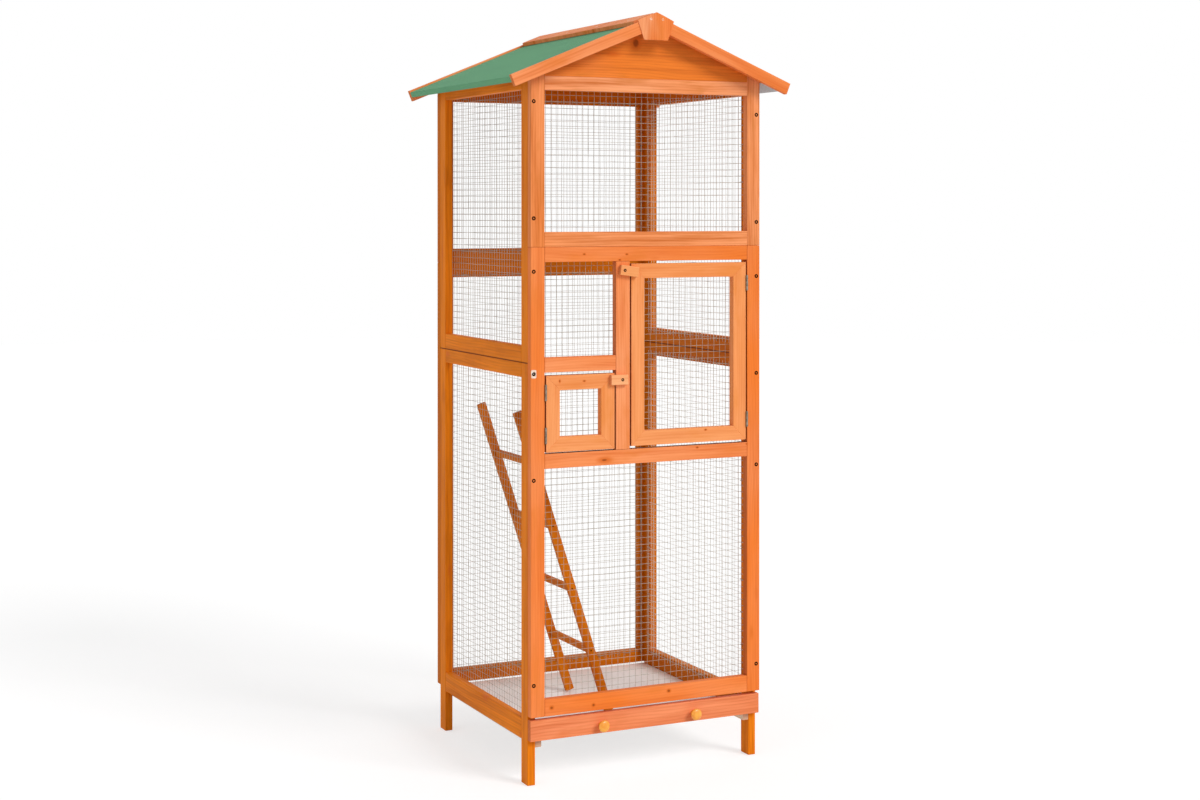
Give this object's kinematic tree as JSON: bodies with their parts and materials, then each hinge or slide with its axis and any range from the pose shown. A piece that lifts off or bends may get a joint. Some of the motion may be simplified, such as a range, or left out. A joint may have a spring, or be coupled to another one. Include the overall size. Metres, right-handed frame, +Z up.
{
  "type": "bird cage",
  "caption": "Tall wooden aviary on legs with netted walls, a felted gable roof, two hinged doors held by turn buttons, a pull-out tray and a leaning ladder.",
  "frame": {"origin": "on the floor, below the middle of the roof", "axes": "+Z up, front with the doors and the tray towards -Y, +X to the right of someone facing the front"},
  "size_m": [0.68, 0.63, 1.6528],
  "materials": {
    "stained_pine": "orange stained pine with a satin varnish",
    "shaded_pine": "orange stained pine with a satin varnish",
    "pale_pine": "paler stained pine",
    "tray_pine": "pinkish orange stained pine with plain grain",
    "galvanised_wire": "dull galvanised wire",
    "hinge_steel": "zinc plated steel",
    "green_felt": "green mineral roofing felt",
    "white_board": "white faced board, satin",
    "yellow_knob": "clear varnished yellow wood"
  },
  "bodies": {
    "cage": {"front_door_post": "stained_pine", "front_left_barge_board": "stained_pine", "front_lower_bottom_rail": "stained_pine", "front_lower_left_stile": "stained_pine", "front_lower_mesh": "galvanised_wire", "front_lower_right_stile": "stained_pine", "front_lower_top_rail": "stained_pine", "front_ridge_plate": "stained_pine", "front_right_barge_board": "stained_pine", "front_sill_rail": "stained_pine", "front_upper_frame": "stained_pine", "front_upper_mesh": "galvanised_wire", "front_window_mesh": "galvanised_wire", "front_window_rail": "stained_pine", "large_door_lower_hinge_fixed_leaf": "hinge_steel", "large_door_upper_hinge_fixed_leaf": "hinge_steel", "left_lower_frame": "shaded_pine", "left_lower_mesh": "galvanised_wire", "left_ridge_cap": "stained_pine", "left_roof_deck": "shaded_pine", "left_roof_felt": "green_felt", "left_tray_runner": "shaded_pine", "left_upper_frame": "shaded_pine", "left_upper_mesh": "galvanised_wire", "rear_left_barge_board": "stained_pine", "rear_lower_frame": "shaded_pine", "rear_lower_mesh": "galvanised_wire", "rear_right_barge_board": "stained_pine", "rear_upper_frame": "shaded_pine", "rear_upper_mesh": "galvanised_wire", "right_lower_frame": "shaded_pine", "right_lower_mesh": "galvanised_wire", "right_ridge_cap": "stained_pine", "right_roof_deck": "shaded_pine", "right_roof_felt": "green_felt", "right_tray_runner": "shaded_pine", "right_upper_frame": "shaded_pine", "right_upper_mesh": "galvanised_wire", "small_door_lower_hinge_fixed_leaf": "hinge_steel", "small_door_upper_hinge_fixed_leaf": "hinge_steel"},
    "large_door": {"large_door_frame": "stained_pine", "large_door_lower_hinge_door_leaf": "hinge_steel", "large_door_mesh": "galvanised_wire", "large_door_upper_hinge_door_leaf": "hinge_steel"},
    "small_door": {"small_door_frame": "stained_pine", "small_door_lower_hinge_door_leaf": "hinge_steel", "small_door_mesh": "galvanised_wire", "small_door_upper_hinge_door_leaf": "hinge_steel"},
    "large_turn_button": {"large_door_turn_button": "pale_pine"},
    "small_turn_button": {"small_door_turn_button": "pale_pine"},
    "tray": {"tray_floor": "white_board", "tray_front_board": "tray_pine", "tray_left_knob": "yellow_knob", "tray_right_knob": "yellow_knob"},
    "ladder": {"ladder_front_stringer": "shaded_pine", "ladder_rear_stringer": "shaded_pine", "ladder_rung_1": "shaded_pine", "ladder_rung_2": "shaded_pine", "ladder_rung_3": "shaded_pine", "ladder_rung_4": "shaded_pine"}
  },
  "joints": [
    {"name": "large_door_hinge", "type": "hinge", "parent": "cage", "child": "large_door", "pos_m": [0.24625, -0.2775, 0.9114], "axis": [0, 0, 1], "range_deg": [0, 170]},
    {"name": "small_door_hinge", "type": "hinge", "parent": "cage", "child": "small_door", "pos_m": [-0.24625, -0.2775, 0.7916], "axis": [0, 0, -1], "range_deg": [0, 170]},
    {"name": "large_turn_button_pivot", "type": "hinge", "parent": "cage", "child": "large_turn_button", "pos_m": [-0.06225, -0.2753, 1.0955], "axis": [0, -1, 0], "continuous": true},
    {"name": "small_turn_button_pivot", "type": "hinge", "parent": "cage", "child": "small_turn_button", "pos_m": [-0.0678, -0.2753, 0.8591], "axis": [0, -1, 0], "continuous": true},
    {"name": "tray_slide", "type": "slide", "parent": "cage", "child": "tray", "axis": [0, -1, 0], "range_m": [0, 0.45]},
    {"name": "ladder_tip", "type": "hinge", "parent": "cage", "child": "ladder", "pos_m": [-0.03608, -0.028, 0.1008], "axis": [0, 1, 0], "range_deg": [0, 18.2]}
  ]
}
